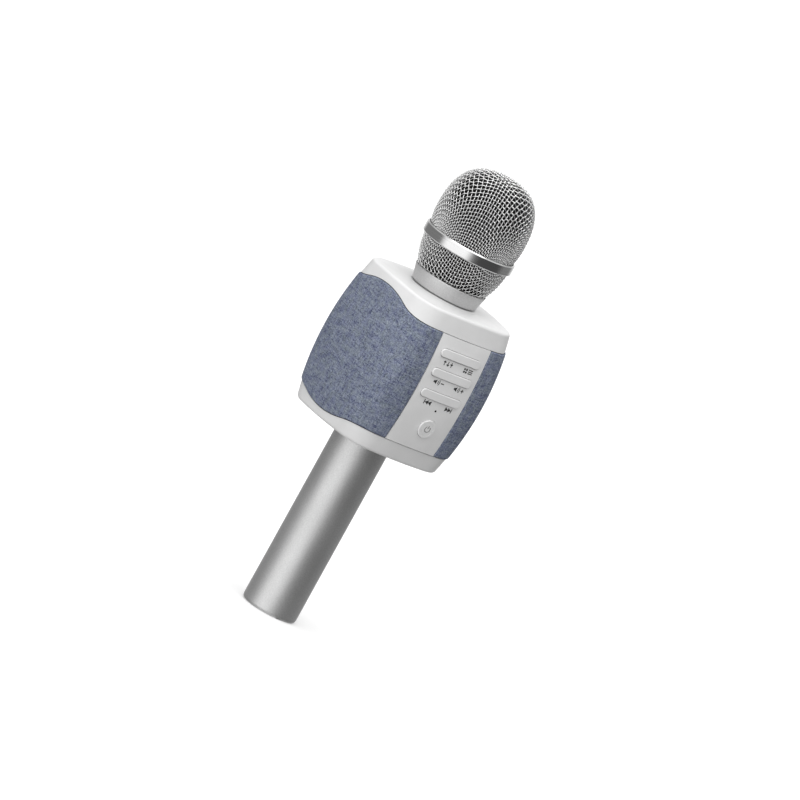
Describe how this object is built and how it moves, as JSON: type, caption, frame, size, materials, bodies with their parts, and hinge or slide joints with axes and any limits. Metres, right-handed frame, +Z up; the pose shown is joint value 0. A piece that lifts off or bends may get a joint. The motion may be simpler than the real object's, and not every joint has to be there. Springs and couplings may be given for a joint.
{
  "type": "karaoke microphone",
  "caption": "Handheld karaoke microphone: a woven-wire ball head, a bowed square speaker body in denim with a control panel, and a round metal handle.",
  "frame": {"origin": "centre of the round base's underside, on the surface it stands on", "axes": "+Z up the microphone's axis towards the ball head; the control panel faces -Y; the loudspeakers face -X and +X"},
  "size_m": [0.0824, 0.083, 0.2697],
  "materials": {
    "shell_plastic": "warm white, satin, very fine moulded grain",
    "panel_plastic": "very light grey satin plastic",
    "silver_lacquer": "satin silver with a fine grain",
    "collar_lacquer": "satin silver grey",
    "ring_chrome": "satin chrome, brushed round",
    "grille_wire": "woven bright steel wire",
    "denim": "heathered blue plain weave",
    "foam": "open-cell black foam",
    "black_plastic": "black ABS",
    "light_pipe": "smoked clear plastic",
    "board_green": "green solder resist",
    "chip_black": "moulded black epoxy",
    "screw_steel": "zinc-plated steel",
    "connector_steel": "nickel-plated steel",
    "driver_steel": "black plated steel",
    "ferrite": "dark grey ferrite",
    "paper_cone": "black paper",
    "copper": "enamelled copper",
    "rubber": "soft black rubber",
    "cell_wrap": "plain blue shrink wrap"
  },
  "bodies": {
    "main_body": {"audio_jack": "black_plastic", "baffle_screws": "screw_steel", "base_cap": "silver_lacquer", "base_screws": "screw_steel", "battery_cell": "cell_wrap", "battery_pads": "foam", "board_parts": "chip_black", "bottom_cap": "shell_plastic", "cap_screws": "screw_steel", "capsule_body": "connector_steel", "capsule_cup": "black_plastic", "capsule_grille": "grille_wire", "capsule_leads": "rubber", "charge_socket": "connector_steel", "control_panel": "panel_plastic", "core_back": "black_plastic", "core_front": "black_plastic", "core_screws": "screw_steel", "denim_cover": "denim", "handle_tube": "silver_lacquer", "key_board": "board_green", "key_bracket": "black_plastic", "left_baffle": "black_plastic", "left_driver_basket": "driver_steel", "left_driver_gasket": "rubber", "left_driver_magnet": "ferrite", "left_driver_top_plate": "driver_steel", "left_driver_yoke": "driver_steel", "main_board": "board_green", "neck_nut": "black_plastic", "neck_socket": "collar_lacquer", "panel_screws": "screw_steel", "port_board": "board_green", "right_baffle": "black_plastic", "right_driver_basket": "driver_steel", "right_driver_gasket": "rubber", "right_driver_magnet": "ferrite", "right_driver_top_plate": "driver_steel", "right_driver_yoke": "driver_steel", "riser_leads": "rubber", "shock_mount": "rubber", "speaker_housing": "black_plastic", "speaker_leads": "rubber", "status_light": "light_pipe", "tact_switches": "chip_black", "top_cap": "shell_plastic"},
    "effect_mode_key": {"rocker_effect_mode": "panel_plastic"},
    "volume_key": {"rocker_volume": "panel_plastic"},
    "track_key": {"rocker_track": "panel_plastic"},
    "power_key": {"power_button": "panel_plastic"},
    "head_lining": {"windscreen_foam": "foam"},
    "head": {"head_collar": "collar_lacquer", "lower_grille": "grille_wire", "grille_ring": "ring_chrome", "upper_grille": "grille_wire"},
    "left_cone": {"left_speaker_cone": "paper_cone", "left_voice_coil": "copper"},
    "right_cone": {"right_speaker_cone": "paper_cone", "right_voice_coil": "copper"}
  },
  "joints": [
    {"name": "effect_mode_rock", "type": "hinge", "parent": "main_body", "child": "effect_mode_key", "pos_m": [0, -0.03605, 0.17501], "axis": [0, 0.1094, 0.994], "range_deg": [-3, 3], "stiffness_Nm_per_rad": 0.4},
    {"name": "volume_rock", "type": "hinge", "parent": "main_body", "child": "volume_key", "pos_m": [0, -0.03698, 0.1638], "axis": [0, 0.0557, 0.9984], "range_deg": [-3, 3], "stiffness_Nm_per_rad": 0.4},
    {"name": "track_rock", "type": "hinge", "parent": "main_body", "child": "track_key", "pos_m": [0, -0.0373, 0.15151], "axis": [0, -0.0033, 1], "range_deg": [-3, 3], "stiffness_Nm_per_rad": 0.4},
    {"name": "power_press", "type": "slide", "parent": "main_body", "child": "power_key", "axis": [0, 0.9959, 0.0906], "range_m": [0, 0.0006], "stiffness_N_per_m": 800, "springref_m": -0.0003},
    {"name": "head_lift", "type": "slide", "parent": "main_body", "child": "head_lining", "axis": [0, 0, 1], "range_m": [0, 0.005]},
    {"name": "head_unscrew", "type": "hinge", "parent": "head_lining", "child": "head", "pos_m": [0, 0, 0.2], "axis": [0, 0, 1], "range_deg": [0, 1440]},
    {"name": "left_cone_stroke", "type": "slide", "parent": "main_body", "child": "left_cone", "axis": [-1, 0, 0], "range_m": [-0.001, 0.001], "stiffness_N_per_m": 600},
    {"name": "right_cone_stroke", "type": "slide", "parent": "main_body", "child": "right_cone", "axis": [1, 0, 0], "range_m": [-0.001, 0.001], "stiffness_N_per_m": 600}
  ],
  "couplings": [
    {"joint": "head_lift", "follows": "head_unscrew", "m_per_rad": 0.00019894}
  ]
}
